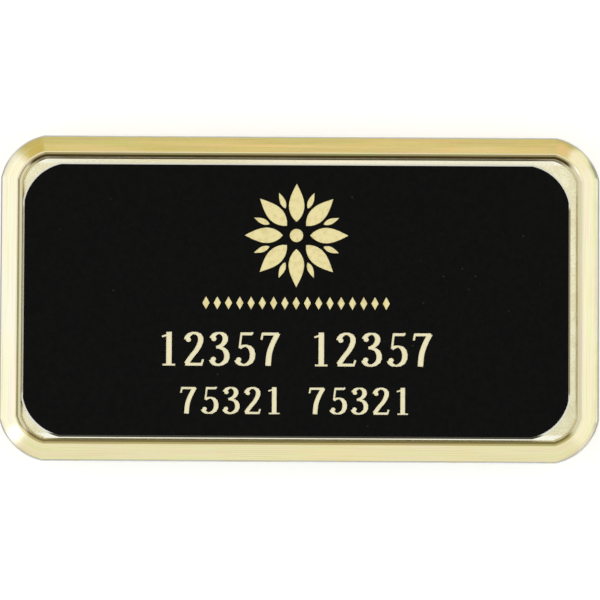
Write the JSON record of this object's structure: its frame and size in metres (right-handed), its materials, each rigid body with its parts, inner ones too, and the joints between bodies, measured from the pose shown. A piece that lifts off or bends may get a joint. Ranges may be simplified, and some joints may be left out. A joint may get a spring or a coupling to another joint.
{
  "type": "name badge",
  "caption": "Oblong badge with rounded corners: a raised pale gold rim round a shallow recess, an engraved black plate lying in it, and a flat magnetic clasp bar behind.",
  "frame": {"origin": "centre of the clasp's flat back face, at the middle of the badge's outline, where the badge rests when it lies on its back", "axes": "+X along the badge's long side towards its right as it is looked at, +Y towards its upper edge, +Z out of its face"},
  "size_m": [0.0836, 0.0454, 0.0071],
  "materials": {
    "frame_gold": "polished pale gold, slightly mottled",
    "plate_gold": "satin pale gold core of two-layer engraving sheet",
    "plate_black": "fine matt black with a faint grain",
    "clasp_black": "plain satin black"
  },
  "bodies": {
    "root": {"frame": "frame_gold", "plate_core": "plate_gold", "plate_cap": "plate_black", "magnet_clasp": "clasp_black"}
  },
  "joints": []
}
